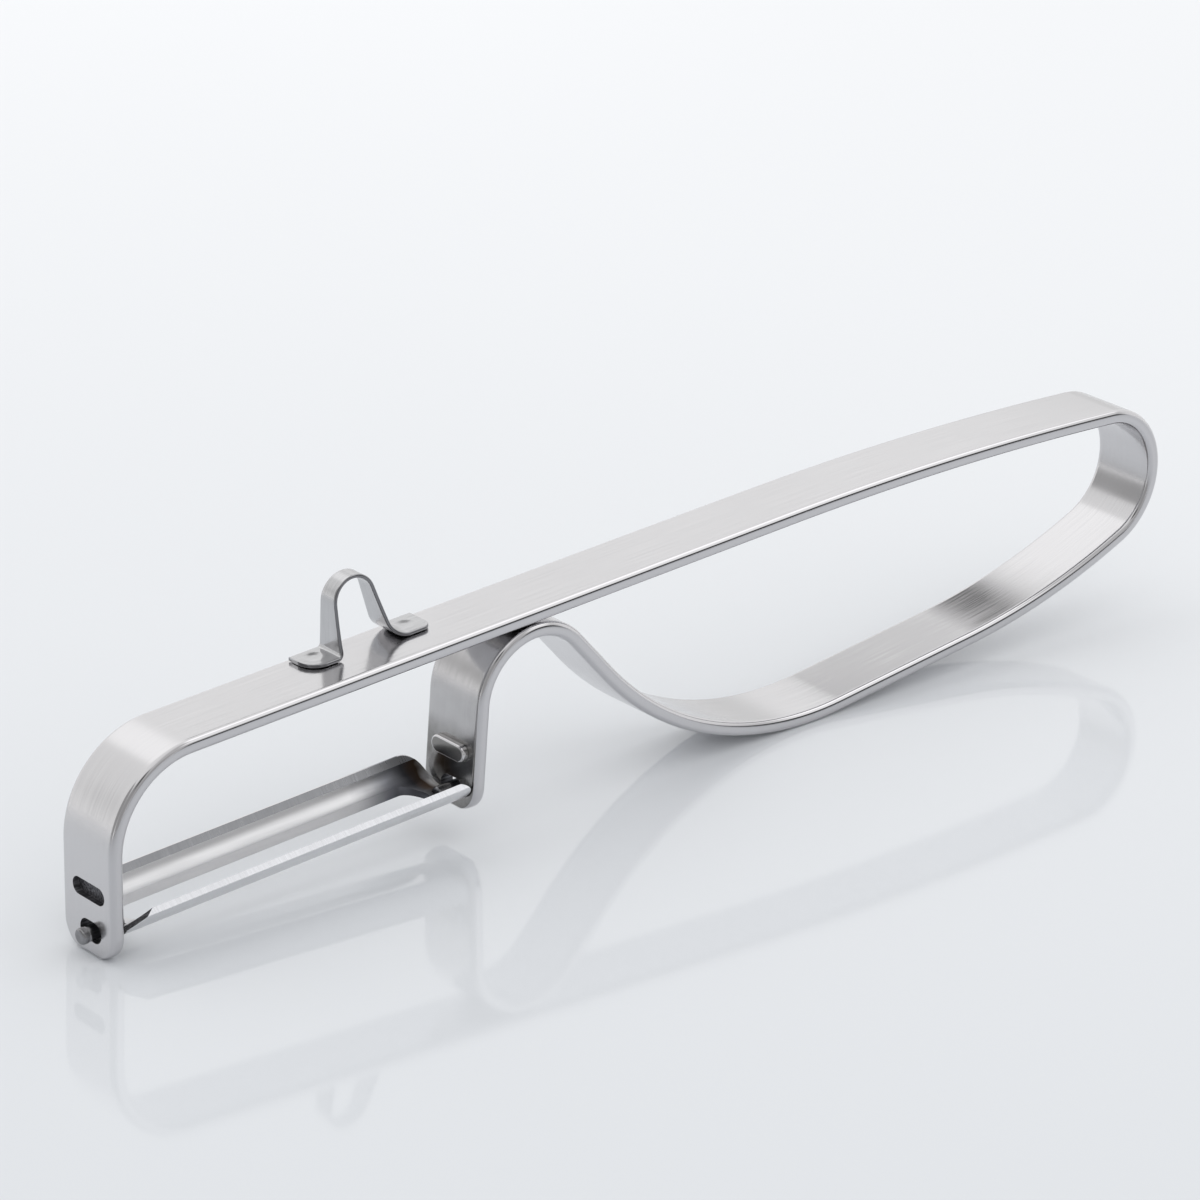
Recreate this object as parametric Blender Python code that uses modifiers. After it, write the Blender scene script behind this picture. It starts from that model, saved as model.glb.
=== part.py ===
"""Swivel vegetable peeler bent from one flat stainless strip.

The strip makes the front leg, the long top, the rounded tail, the belly of the
handle, the crest welded under the top and the rear leg.  A trough-shaped blade
swings on two pins between the legs, and a bent band on the top takes out eyes.

Design frame: X runs along the top strip from the front leg to the tail, Y across
the strip and Z up, with Z = 0 on the top face.  The object then leans on its
front leg and its belly, and its row frame has the origin on the table.
"""

import math

import bmesh
import bpy
import numpy as np
from mathutils import Matrix, Vector

MM = 0.001

# Flat bar that the frame is bent from
STRIP_WIDTH = 10.0 * MM
STRIP_THICKNESS = 2.0 * MM
RIM_RADIUS = 0.55 * MM

# Outer shape of the bent frame
OVERALL_LENGTH = 180.9 * MM
FRONT_BEND_RADIUS = 12.75 * MM
FRONT_LEG_LEAN = math.radians(2.1)
REAR_LEG_LEAN = math.radians(5.6)
FRONT_LEG_BELOW_PIVOT = 3.1 * MM
REAR_LEG_BELOW_PIVOT = 2.5 * MM
LEG_CORNER_RADIUS = 3.5 * MM
DROOP_START = 110.3 * MM
DROOP_ANGLE = math.radians(5.9)
TAIL_RADIUS = 10.63 * MM
TAIL_TURN = math.radians(153.6)
RETURN_RUN = 24.0 * MM
BELLY_RADIUS = 50.1 * MM
BELLY_DEPTH = 31.9 * MM
NECK_RUN = 8.5 * MM
CREST_RADIUS = 9.7 * MM

# Spot weld between the crest and the underside of the top
WELD_GAP = 0.2 * MM
WELD_DIAMETER = 4.2 * MM
WELD_SINK = 0.6 * MM

# Pivot: axis below the top face and beside the strip's middle, pins, oval holes
PIVOT_DEPTH = 22.9 * MM
PIVOT_SIDE = -0.6 * MM
PIN_DIAMETER = 1.95 * MM
PIN_HEAD_DIAMETER = 2.1 * MM
PIN_HEAD_LENGTH = 0.9 * MM
PIN_PROJECTION = 1.7 * MM
PIN_END_ROUND = 0.3 * MM
HOLE_WIDTH = 4.2 * MM
HOLE_HEIGHT = 2.7 * MM
HOLE_ABOVE_PIVOT = 0.2 * MM

# Half-pierced stop lugs over the holes
LUG_WIDTH = 6.3 * MM
LUG_HEIGHT = 2.3 * MM
LUG_ABOVE_PIVOT = 5.4 * MM
LUG_SIDE = -0.3 * MM
LUG_RISE = 0.9 * MM
LUG_POCKET = 0.9 * MM

# Trough blade: its far wall is the higher one, heights above the pivot axis
BLADE_LENGTH = 53.1 * MM
BLADE_WIDTH = 11.0 * MM
BLADE_SHEET = 0.8 * MM
BLADE_CORNER_RADIUS = 4.4 * MM
BLADE_FLOOR_BELOW_PIVOT = 0.8 * MM
NEAR_WALL_ABOVE_PIVOT = 2.7 * MM
NEAR_WALL_BEVEL = 0.3 * MM
FAR_WALL_ABOVE_PIVOT = 3.57 * MM
FAR_WALL_FACET = 0.8 * MM
FAR_WALL_TIP = 0.2 * MM
BLADE_END_PLAY = 0.4 * MM

# Slot in the blade: its sharp edges lie on the underside, ground from inside
SLOT_WIDTH = 4.9 * MM
SLOT_SIDE = 0.35 * MM
SLOT_BRIDGE = 3.0 * MM
SLOT_EDGE_RISE = 0.25 * MM
SLOT_EDGE_ANGLE = math.radians(72.0)

# Cut corners of the blade's walls, and the seats of the pins
WALL_CUT_LARGE = 3.5 * MM
WALL_CUT_SMALL = 1.6 * MM
WALL_CHAMFER_RUN = 3.9 * MM
WALL_CHAMFER_DROP = 1.6 * MM
PIN_SEAT_LENGTH = 2.0 * MM
PIN_SEAT_CLEARANCE = 0.05 * MM

# Bent band that takes out eyes
EYE_SHEET = 0.6 * MM
EYE_SEAT_GAP = 0.05 * MM
EYE_START = 34.3 * MM
EYE_FRONT_FOOT = 5.0 * MM
EYE_FOLD_RADIUS = 0.7 * MM
EYE_HEIGHT = 10.1 * MM
EYE_CREST_RADIUS = 3.3 * MM
EYE_SLANT = math.radians(72.0)
EYE_FLARE_RADIUS = 2.9 * MM
EYE_REAR_FOOT = 3.4 * MM
EYE_FAR_SIDE = 4.2 * MM
EYE_FOOT_WIDTH = 4.6 * MM
EYE_CREST_WIDTH = 2.4 * MM
EYE_CREST_INSET = 0.7 * MM
EYE_FRONT_CORNER = 2.6 * MM
EYE_REAR_CORNER = 1.3 * MM
EYE_RIM_RADIUS = 0.15 * MM
EYE_TAPER_CURVE = 0.7

# Fineness of the round stretches
ARC_STEP = math.radians(7.0)
RUN_STEP = 9.0 * MM
CORNER_STEPS = 3
END_STEPS = 5
WALL_STEPS = 8
ROUND_SIDES = 28

HALF_STRIP = STRIP_THICKNESS / 2
PIVOT_Z = -PIVOT_DEPTH


def heading_vector(heading):
    """Unit vector in the XZ plane along a heading, measured from +X toward +Z."""
    return np.array([math.cos(heading), math.sin(heading)])


def left_vector(heading):
    """Unit vector in the XZ plane to the left of a heading."""
    return np.array([-math.sin(heading), math.cos(heading)])


def trace(start, heading, moves):
    """Follow runs and arcs; each move is (length, turn), and a turn of 0 is straight.

    Returns stations (x, z, heading, distance) along the line.
    """
    point = np.array(start, dtype=float)
    distance = 0.0
    stations = [(point[0], point[1], heading, distance)]
    for length, turn in moves:
        count = 1
        if turn:
            count = max(math.ceil(abs(turn) / ARC_STEP), math.ceil(length / RUN_STEP))
        for _ in range(count):
            half = turn / count / 2
            chord = length / count
            if turn:
                chord *= math.sin(half) / half
            point = point + chord * heading_vector(heading + half)
            heading += 2 * half
            distance += length / count
            stations.append((point[0], point[1], heading, distance))
    return stations


def arc(radius, turn):
    """A move that turns by an angle at a radius."""
    return (radius * abs(turn), turn)


def run(length):
    """A straight move."""
    return (length, 0.0)


def joining_run(centre_a, radius_a, centre_b, radius_b):
    """Heading and length of the straight line that leaves circle a and joins circle b.

    Radii are signed: positive where the line turns left round the circle.
    """
    across = centre_b - centre_a
    step = radius_b - radius_a
    length = math.sqrt(across @ across - step * step)
    heading = math.atan2(across[1], across[0]) - math.atan2(step, length)
    return heading, length


def wrapped(angle):
    """The same angle between -360 and 0 degrees."""
    return angle % (2 * math.pi) - 2 * math.pi


def frame_layout():
    """Solve the frame's centreline: places of its legs and circles, and its moves."""
    layout = {}
    # Front leg: tangent to the front bend, leaning with its end toward -X.
    front_radius = FRONT_BEND_RADIUS - HALF_STRIP
    front_heading = math.pi / 2 - FRONT_LEG_LEAN
    bend_centre = np.array([FRONT_BEND_RADIUS, -FRONT_BEND_RADIUS])
    leg_top = bend_centre + front_radius * left_vector(front_heading)
    up = heading_vector(front_heading)
    front_pivot = leg_top - up * (leg_top[1] - PIVOT_Z) / up[1]
    front_end = front_pivot - up * FRONT_LEG_BELOW_PIVOT
    front_face = front_pivot[0] + HALF_STRIP / math.cos(FRONT_LEG_LEAN)

    # Rear leg: its inner face stands where the blade and its end play end.
    blade_start = front_face + BLADE_END_PLAY
    rear_face = blade_start + BLADE_LENGTH + BLADE_END_PLAY
    rear_pivot = np.array([rear_face + HALF_STRIP / math.cos(REAR_LEG_LEAN), PIVOT_Z])
    rear_heading = -math.pi / 2 - REAR_LEG_LEAN
    down = heading_vector(rear_heading)

    # Crest: under the top with the weld's gap, tangent to the rear leg.
    crest_radius = CREST_RADIUS - HALF_STRIP
    crest_z = -STRIP_THICKNESS - WELD_GAP - CREST_RADIUS
    side = crest_radius * left_vector(rear_heading)
    leg_start = rear_pivot + down * (crest_z - side[1] - PIVOT_Z) / down[1]
    crest_centre = leg_start + side
    rear_leg = (leg_start[1] - PIVOT_Z) / -down[1] + REAR_LEG_BELOW_PIVOT

    # Belly: its place along X follows from the straight neck up to the crest.
    belly_radius = BELLY_RADIUS - HALF_STRIP
    belly_z = BELLY_RADIUS - BELLY_DEPTH
    reach = (belly_radius + crest_radius) ** 2 + NECK_RUN ** 2 - (belly_z - crest_z) ** 2
    belly_centre = np.array([crest_centre[0] + math.sqrt(reach), belly_z])
    neck_heading, neck_run = joining_run(belly_centre, -belly_radius, crest_centre, crest_radius)

    # Top, its droop and the tail, whose outermost point sets the overall length.
    tail_radius = TAIL_RADIUS - HALF_STRIP
    droop_end = OVERALL_LENGTH - TAIL_RADIUS + tail_radius * math.sin(DROOP_ANGLE)
    droop_radius = (droop_end - DROOP_START) / math.sin(DROOP_ANGLE)
    droop_drop = droop_radius * (1 - math.cos(DROOP_ANGLE))
    tail_start = np.array([droop_end, -HALF_STRIP - droop_drop])
    tail_centre = tail_start - tail_radius * left_vector(-DROOP_ANGLE)
    tail_heading = -DROOP_ANGLE - TAIL_TURN
    tail_end = tail_centre + tail_radius * left_vector(tail_heading)

    # Return: an arc whose radius lets its straight end run into the belly.
    gap = tail_end - belly_centre
    lean = left_vector(tail_heading) @ gap - belly_radius
    turn_radius = (RETURN_RUN ** 2 + belly_radius ** 2 - gap @ gap) / (2 * lean)
    return_centre = tail_end + turn_radius * left_vector(tail_heading)
    return_heading, return_run = joining_run(return_centre, turn_radius, belly_centre, -belly_radius)

    end_runs = rounded_end_runs(LEG_CORNER_RADIUS)
    front_leg = np.linalg.norm(leg_top - front_end)
    layout["moves"] = (
        [run(length) for length in end_runs]
        + [run(front_leg - sum(end_runs))]
        + [arc(front_radius, -front_heading)]
        + [run(DROOP_START - FRONT_BEND_RADIUS)]
        + [arc(droop_radius, -DROOP_ANGLE)]
        + [arc(tail_radius, -TAIL_TURN)]
        + [arc(abs(turn_radius), wrapped(return_heading) - tail_heading)]
        + [run(return_run)]
        + [arc(belly_radius, wrapped(neck_heading) - wrapped(return_heading))]
        + [run(neck_run)]
        + [arc(crest_radius, rear_heading - wrapped(neck_heading))]
        + [run(rear_leg - sum(end_runs))]
        + [run(length) for length in reversed(end_runs)]
    )
    layout["start"] = front_end
    layout["heading"] = front_heading
    layout["blade_start"] = blade_start
    layout["front_pivot"] = front_pivot
    layout["rear_pivot"] = rear_pivot
    layout["crest_x"] = crest_centre[0]
    layout["belly_centre"] = belly_centre
    outer_corner = front_end + left_vector(front_heading) * HALF_STRIP
    layout["rest_tilt"] = rest_tilt(outer_corner, belly_centre)
    return layout


def rounded_end_runs(radius):
    """Run lengths that follow the rounded corner of a band's end."""
    turns = [k * math.pi / 2 / END_STEPS for k in range(END_STEPS + 1)]
    places = [radius * (1 - math.cos(turn)) for turn in turns]
    return list(np.diff(places))


def corner_inset(radius, distance):
    """How far a rounded corner draws the band's edge in, at a distance from its end."""
    inset = radius - distance
    if inset <= 0:
        return 0.0
    return radius - math.sqrt(max(radius ** 2 - inset ** 2, 0.0))


def rest_tilt(leg_corner, belly_centre):
    """Slope of the table: the line from the leg's corner that touches the belly."""
    across = belly_centre - leg_corner
    return math.asin(BELLY_RADIUS / np.linalg.norm(across)) - math.atan2(across[1], across[0])


def band_section(low, high, thickness, rim):
    """Outline of a flat band as (across, through) pairs, its four edges rounded."""
    corners = [(high, 1, 0), (low, 1, 1), (low, -1, 2), (high, -1, 3)]
    points = []
    for across, side, quarter in corners:
        centre_y = across - rim if across == high else across + rim
        centre_n = side * (thickness / 2 - rim)
        for k in range(CORNER_STEPS + 1):
            angle = (quarter + k / CORNER_STEPS) * math.pi / 2
            points.append((centre_y + rim * math.cos(angle), centre_n + rim * math.sin(angle)))
    return points


def link(obj, collection, parent):
    """Put an object in its collection and under its parent."""
    collection.objects.link(obj)
    obj.parent = parent
    return obj


def smooth(mesh):
    """Shade round faces smooth and keep real edges sharp."""
    mesh.shade_smooth()
    mesh.set_sharp_from_angle(angle=math.radians(30))


def band_loft(name, stations, sections, collection, parent):
    """Solid band lofted through one outline per station of a bent line."""
    mesh = bpy.data.meshes.new(name)
    bm = bmesh.new()
    rings = []
    for (x, z, heading, _), section in zip(stations, sections):
        normal = left_vector(heading)
        rings.append([bm.verts.new((x + n * normal[0], y, z + n * normal[1])) for y, n in section])
    for ring, following in zip(rings, rings[1:]):
        for k in range(len(ring)):
            bm.faces.new((ring[k - 1], ring[k], following[k], following[k - 1]))
    bm.faces.new(rings[0])
    bm.faces.new(reversed(rings[-1]))
    bmesh.ops.recalc_face_normals(bm, faces=bm.faces)
    bm.to_mesh(mesh)
    bm.free()
    smooth(mesh)
    return link(bpy.data.objects.new(name, mesh), collection, parent)


def flat_solid(name, outline, thickness, matrix, collection, parent, flare=0.0):
    """Solid of a flat outline, half its thickness to each side of the matrix's XY plane.

    A flare widens the outline evenly from that plane toward local +Z.
    """
    curve = bpy.data.curves.new(name, "CURVE")
    curve.dimensions = "2D"
    curve.fill_mode = "BOTH"
    curve.extrude = thickness / 2
    spline = curve.splines.new("POLY")
    spline.points.add(len(outline) - 1)
    for point, (x, y) in zip(spline.points, outline):
        point.co = (x, y, 0.0, 1.0)
    spline.use_cyclic_u = True
    drawn = bpy.data.objects.new(name, curve)
    mesh = bpy.data.meshes.new_from_object(drawn)
    bpy.data.objects.remove(drawn)
    bpy.data.curves.remove(curve)
    bm = bmesh.new()
    bm.from_mesh(mesh)
    bmesh.ops.remove_doubles(bm, verts=bm.verts, dist=0.001 * MM)
    bmesh.ops.dissolve_limit(bm, angle_limit=math.radians(1), verts=bm.verts, edges=bm.edges)
    if flare:
        bmesh.ops.bisect_plane(bm, geom=bm.verts[:] + bm.edges[:] + bm.faces[:],
                               plane_co=(0.0, 0.0, 0.0), plane_no=(0.0, 0.0, 1.0))
        widen(bm, flare)
    bmesh.ops.recalc_face_normals(bm, faces=bm.faces)
    bm.to_mesh(mesh)
    bm.free()
    obj = link(bpy.data.objects.new(name, mesh), collection, parent)
    obj.matrix_local = matrix
    return obj


def widen(bm, flare):
    """Move the upper rim of a flat solid outward by the flare, square to its walls."""
    top = max(vert.co.z for vert in bm.verts)
    walls = {}
    for vert in bm.verts:
        if vert.co.z > top - 0.001 * MM:
            normals = [face.normal for face in vert.link_faces if abs(face.normal.z) < 0.5]
            walls[vert] = sum(normals, Vector()).normalized()
    for vert, outward in walls.items():
        vert.co += outward * flare


def pill(length, width):
    """Outline with round ends, its length along X."""
    radius = width / 2
    points = []
    for end in (1, -1):
        for k in range(ROUND_SIDES // 2 + 1):
            angle = (k / (ROUND_SIDES // 2) - 0.5) * math.pi
            points.append((end * (length / 2 - radius + radius * math.cos(angle)),
                           end * radius * math.sin(angle)))
    return points


def cut(target, cutter, operation="DIFFERENCE"):
    """Boolean with a cutter that stays hidden in its own collection."""
    cutter.hide_render = True
    cutter.display_type = "WIRE"
    boolean = target.modifiers.new(cutter.name, "BOOLEAN")
    boolean.solver = "EXACT"
    boolean.operation = operation
    boolean.object = cutter


def steel(name, colour, roughness):
    """Bare stainless steel."""
    material = bpy.data.materials.new(name)
    material.use_nodes = True
    shader = material.node_tree.nodes["Principled BSDF"]
    shader.inputs["Base Color"].default_value = (*colour, 1.0)
    shader.inputs["Roughness"].default_value = roughness
    shader.inputs["Metallic"].default_value = 1.0
    return material


def leg_matrix(pivot, heading, above, beside):
    """Frame on a leg: X across the strip, Y up the leg, Z out of its outer face."""
    out = left_vector(heading)
    upward = 1 if heading > 0 else -1
    up = upward * heading_vector(heading)
    place = np.array(pivot) + up * above
    return Matrix((
        (0.0, up[0], out[0], place[0]),
        (-upward, 0.0, 0.0, beside),
        (0.0, up[1], out[1], place[1]),
        (0.0, 0.0, 0.0, 1.0),
    ))


def build_frame_strip(layout, parts, cutters, stand):
    """The one continuous strip, with its weld, holes, pockets and lugs."""
    stations = trace(layout["start"], layout["heading"], layout["moves"])
    total = stations[-1][3]
    sections = []
    for station in stations:
        end_distance = min(station[3], total - station[3])
        half = STRIP_WIDTH / 2 - corner_inset(LEG_CORNER_RADIUS, end_distance)
        sections.append(band_section(-half, half, STRIP_THICKNESS, RIM_RADIUS))
    strip = band_loft("frame_strip", stations, sections, parts, stand)
    strip.data.materials.append(steel("satin_steel_strip", (0.70, 0.70, 0.71), 0.34))

    weld_length = WELD_GAP + 2 * WELD_SINK
    weld_place = Matrix.Translation((layout["crest_x"], 0.0, -STRIP_THICKNESS - WELD_GAP / 2))
    weld = flat_solid("crest_weld", pill(WELD_DIAMETER, WELD_DIAMETER), weld_length,
                      weld_place, cutters, stand)
    cut(strip, weld, "UNION")

    legs = (
        ("front", layout["front_pivot"], layout["heading"]),
        ("rear", layout["rear_pivot"], -math.pi / 2 - REAR_LEG_LEAN),
    )
    for leg, pivot, heading in legs:
        middle = leg_matrix(pivot, heading, HOLE_ABOVE_PIVOT, PIVOT_SIDE)
        hole = flat_solid(f"{leg}_hole", pill(HOLE_WIDTH, HOLE_HEIGHT), 2 * STRIP_THICKNESS,
                          middle, cutters, stand)
        cut(strip, hole)
        raised = leg_matrix(pivot, heading, LUG_ABOVE_PIVOT, LUG_SIDE)
        # The lug stands on the blade's side, rooted in the web behind the pocket.
        root = STRIP_THICKNESS - LUG_POCKET
        lug_depth = LUG_RISE + root / 2
        lug_middle = -(HALF_STRIP + LUG_RISE) + lug_depth / 2
        lug = flat_solid(f"{leg}_lug", pill(LUG_WIDTH, LUG_HEIGHT), lug_depth,
                         raised @ Matrix.Translation((0.0, 0.0, lug_middle)), cutters, stand)
        cut(strip, lug, "UNION")
        pocket = flat_solid(f"{leg}_pocket", pill(LUG_WIDTH, LUG_HEIGHT), 2 * LUG_POCKET,
                            raised @ Matrix.Translation((0.0, 0.0, HALF_STRIP)), cutters, stand)
        cut(strip, pocket)


def build_eye_remover(parts, stand):
    """Bent band on the top strip, wide at its feet and narrow at its crest."""
    middle = EYE_SHEET / 2
    foot_z = EYE_SEAT_GAP + middle
    fold = EYE_FOLD_RADIUS
    crest = EYE_CREST_RADIUS - middle
    flare = EYE_FLARE_RADIUS + middle
    crest_z = EYE_SEAT_GAP + EYE_HEIGHT - middle - crest
    crest_drop = crest * math.cos(EYE_SLANT)
    flare_drop = flare * (1 - math.cos(EYE_SLANT))
    slant_run = (crest_z + crest_drop - foot_z - flare_drop) / math.sin(EYE_SLANT)
    moves = (
        [run(length) for length in rounded_end_runs(EYE_FRONT_CORNER)]
        + [run(EYE_FRONT_FOOT - EYE_FRONT_CORNER - fold)]
        + [arc(fold, math.pi / 2)]
        + [run(crest_z - foot_z - fold)]
        + [arc(crest, -math.pi / 2 - EYE_SLANT)]
        + [run(slant_run)]
        + [arc(flare, EYE_SLANT)]
        + [run(EYE_REAR_FOOT - EYE_REAR_CORNER)]
        + [run(length) for length in reversed(rounded_end_runs(EYE_REAR_CORNER))]
    )
    stations = trace((EYE_START, foot_z), 0.0, moves)
    total = stations[-1][3]
    sections = []
    for _, z, _, distance in stations:
        rise = max((z - foot_z) / (EYE_HEIGHT - EYE_SHEET), 0.0)
        high = EYE_FAR_SIDE - EYE_CREST_INSET * rise
        taper = (EYE_FOOT_WIDTH - EYE_CREST_WIDTH) * rise ** EYE_TAPER_CURVE
        low = high - EYE_FOOT_WIDTH + taper
        low += corner_inset(EYE_FRONT_CORNER, distance)
        low += corner_inset(EYE_REAR_CORNER, total - distance)
        sections.append(band_section(low, high, EYE_SHEET, EYE_RIM_RADIUS))
    loop = band_loft("eye_remover_loop", stations, sections, parts, stand)
    loop.data.materials.append(steel("polished_steel_band", (0.66, 0.66, 0.67), 0.28))


def trough_outline():
    """Section of the blade seen along X: a U of even sheet with unequal walls."""
    middle = BLADE_WIDTH / 2 - BLADE_CORNER_RADIUS
    centre_z = BLADE_CORNER_RADIUS - BLADE_FLOOR_BELOW_PIVOT
    inner_radius = BLADE_CORNER_RADIUS - BLADE_SHEET
    far_inside = BLADE_WIDTH / 2 - BLADE_SHEET
    # The near wall ends on its curve; the far wall's inner side is ground to a facet.
    outside = wall_curve(-middle, centre_z, BLADE_CORNER_RADIUS,
                         NEAR_WALL_ABOVE_PIVOT - NEAR_WALL_BEVEL, -1)
    outside += reversed(wall_curve(middle, centre_z, BLADE_CORNER_RADIUS,
                                   FAR_WALL_ABOVE_PIVOT, 1))
    inside = wall_curve(-middle, centre_z, inner_radius, NEAR_WALL_ABOVE_PIVOT, -1)
    inside += reversed(wall_curve(middle, centre_z, inner_radius,
                                  FAR_WALL_ABOVE_PIVOT - FAR_WALL_FACET, 1))
    tip = (far_inside + BLADE_SHEET - FAR_WALL_TIP, FAR_WALL_ABOVE_PIVOT)
    points = outside + [tip] + list(reversed(inside))
    return [(y - PIVOT_SIDE, z) for y, z in points]


def wall_curve(centre_y, centre_z, radius, top, side):
    """Quarter curve of one wall, from its top down to the floor."""
    start = math.asin((centre_z - top) / radius)
    points = []
    for k in range(WALL_STEPS + 1):
        angle = start + (math.pi / 2 - start) * k / WALL_STEPS
        points.append((centre_y + side * radius * math.cos(angle),
                       centre_z - radius * math.sin(angle)))
    return points


def corner_outline(radius):
    """What a round corner takes off a square one: the corner lies at the origin."""
    margin = radius / 4
    points = [(-margin, margin), (-margin, -radius)]
    for k in range(9):
        angle = math.pi - k * math.pi / 16
        points.append((radius + radius * math.cos(angle), -radius + radius * math.sin(angle)))
    points.append((radius, margin))
    return points


def chamfer_outline(length, drop):
    """What a straight chamfer takes off a square corner that lies at the origin."""
    margin = drop / 4
    slope = drop / length
    return [(-margin, margin), (-margin, -drop - margin * slope), (0.0, -drop),
            (length, 0.0), (length + margin / slope, margin)]


def build_blade(parts, cutters, pivot):
    """Trough with a sharpened slot, cut wall corners and a seat for each pin."""
    # The curve's X, Y and Z become the object's Y, Z and X.
    along_x = Matrix(((0, 0, 1, 0), (1, 0, 0, 0), (0, 1, 0, 0), (0, 0, 0, 1)))
    blade = flat_solid("blade", trough_outline(), BLADE_LENGTH, along_x, parts, pivot)
    blade.data.transform(along_x)
    blade.matrix_local = Matrix.Identity(4)
    blade.data.materials.append(steel("ground_steel_blade", (0.62, 0.61, 0.60), 0.2))

    # Slot: straight walls up to the sharp edges, then wider toward the inside.
    slot_length = BLADE_LENGTH - 2 * SLOT_BRIDGE
    height = 2 * BLADE_SHEET
    flare = height / math.tan(SLOT_EDGE_ANGLE)
    edges = Matrix.Translation((0.0, SLOT_SIDE - PIVOT_SIDE,
                                SLOT_EDGE_RISE - BLADE_FLOOR_BELOW_PIVOT))
    cut(blade, flat_solid("blade_slot", pill(slot_length, SLOT_WIDTH), 2 * height,
                          edges, cutters, pivot, flare))

    corners = (
        ("near_front", -1, -1, chamfer_outline(WALL_CHAMFER_RUN, WALL_CHAMFER_DROP)),
        ("near_rear", -1, 1, corner_outline(WALL_CUT_SMALL)),
        ("far_front", 1, -1, corner_outline(WALL_CUT_SMALL)),
        ("far_rear", 1, 1, corner_outline(WALL_CUT_LARGE)),
    )
    floor_edge = BLADE_WIDTH / 2 - BLADE_CORNER_RADIUS
    reach = BLADE_CORNER_RADIUS + BLADE_SHEET
    for name, side, end, shape in corners:
        outline = [(-end * x, z) for x, z in shape]
        if end > 0:
            outline.reverse()
        top = NEAR_WALL_ABOVE_PIVOT if side < 0 else FAR_WALL_ABOVE_PIVOT
        upright = Matrix(((1, 0, 0, end * BLADE_LENGTH / 2),
                          (0, 0, -1, side * (floor_edge + reach / 2) - PIVOT_SIDE),
                          (0, 1, 0, top),
                          (0, 0, 0, 1)))
        cut(blade, flat_solid(f"{name}_corner", outline, reach, upright, cutters, pivot))

    seat_width = PIN_DIAMETER + 2 * PIN_SEAT_CLEARANCE
    half_length = PIN_SEAT_LENGTH + PIN_SEAT_CLEARANCE
    seat_box = [(-half_length, -seat_width / 2), (half_length, -seat_width / 2),
                (half_length, seat_width / 2), (-half_length, seat_width / 2)]
    for name, end in (("front", -1), ("rear", 1)):
        place = Matrix.Translation((end * BLADE_LENGTH / 2, 0.0, -BLADE_FLOOR_BELOW_PIVOT))
        seat = flat_solid(f"{name}_pin_seat", seat_box, 3 * BLADE_SHEET, place, cutters, pivot)
        cut(blade, seat)


def build_pin(name, outward, parts, pivot):
    """Turned pin: seated in the blade's end, through the leg's hole, swelled outside."""
    shank = PIN_DIAMETER / 2
    head = PIN_HEAD_DIAMETER / 2
    leg = STRIP_THICKNESS
    tip = BLADE_END_PLAY + leg + PIN_PROJECTION
    neck = tip - PIN_HEAD_LENGTH
    profile = [(0.0, tip), (head - PIN_END_ROUND, tip)]
    for k in range(1, 5):
        angle = k * math.pi / 8
        profile.append((head - PIN_END_ROUND + PIN_END_ROUND * math.sin(angle),
                        tip - PIN_END_ROUND + PIN_END_ROUND * math.cos(angle)))
    profile.append((head, neck + (head - shank)))
    profile.append((shank, neck))
    profile.append((shank, -PIN_SEAT_LENGTH))
    profile.append((0.0, -PIN_SEAT_LENGTH))
    mesh = bpy.data.meshes.new(name)
    bm = bmesh.new()
    verts = [bm.verts.new((radius, 0.0, height)) for radius, height in profile]
    for upper, below in zip(verts, verts[1:]):
        bm.edges.new((upper, below))
    bm.to_mesh(mesh)
    bm.free()
    pin = link(bpy.data.objects.new(name, mesh), parts, pivot)
    turn = pin.modifiers.new("turn", "SCREW")
    turn.steps = ROUND_SIDES
    turn.render_steps = ROUND_SIDES
    turn.use_merge_vertices = True
    turn.merge_threshold = 0.00002
    turn.use_smooth_shade = True
    pin.location = (outward * BLADE_LENGTH / 2, 0.0, 0.0)
    pin.rotation_euler = (0.0, outward * math.pi / 2, 0.0)
    mesh.materials.append(steel("turned_steel_pin", (0.55, 0.54, 0.53), 0.3))


def stand_up(stand, parts, tilt):
    """Lean the part on its front leg and belly, centred over the origin."""
    lean = Matrix.Rotation(-tilt, 4, "Y")
    bpy.context.view_layer.update()
    depsgraph = bpy.context.evaluated_depsgraph_get()
    points = []
    for obj in parts.objects:
        if obj.type == "MESH":
            shape = obj.evaluated_get(depsgraph)
            place = lean @ shape.matrix_world
            points += [place @ vert.co for vert in shape.data.vertices]
    lowest = min(point.z for point in points)
    left = min(point.x for point in points)
    right = max(point.x for point in points)
    stand.matrix_local = Matrix.Translation((-(left + right) / 2, 0.0, -lowest)) @ lean


def build():
    for obj in list(bpy.data.objects):
        bpy.data.objects.remove(obj, do_unlink=True)
    parts = bpy.data.collections.new("vegetable_peeler")
    cutters = bpy.data.collections.new("cutters")
    bpy.context.scene.collection.children.link(parts)
    bpy.context.scene.collection.children.link(cutters)

    layout = frame_layout()
    stand = link(bpy.data.objects.new("stand", None), parts, None)
    pivot = link(bpy.data.objects.new("blade_pivot", None), parts, stand)
    pivot.location = (layout["blade_start"] + BLADE_LENGTH / 2, PIVOT_SIDE, PIVOT_Z)

    build_frame_strip(layout, parts, cutters, stand)
    build_eye_remover(parts, stand)
    build_blade(parts, cutters, pivot)
    build_pin("pivot_pin_front", -1, parts, pivot)
    build_pin("pivot_pin_rear", 1, parts, pivot)
    stand_up(stand, parts, layout["rest_tilt"])
    bpy.context.view_layer.update()


build()
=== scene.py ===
"""Swivel vegetable peeler of bare stainless steel, standing on a glossy white table.

Lengths are in millimetres in the peeler's own frame, with X along the top strip from the
front leg, Y across it and Z up from its top face, until on_table() sets them in place.
"""

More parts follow.
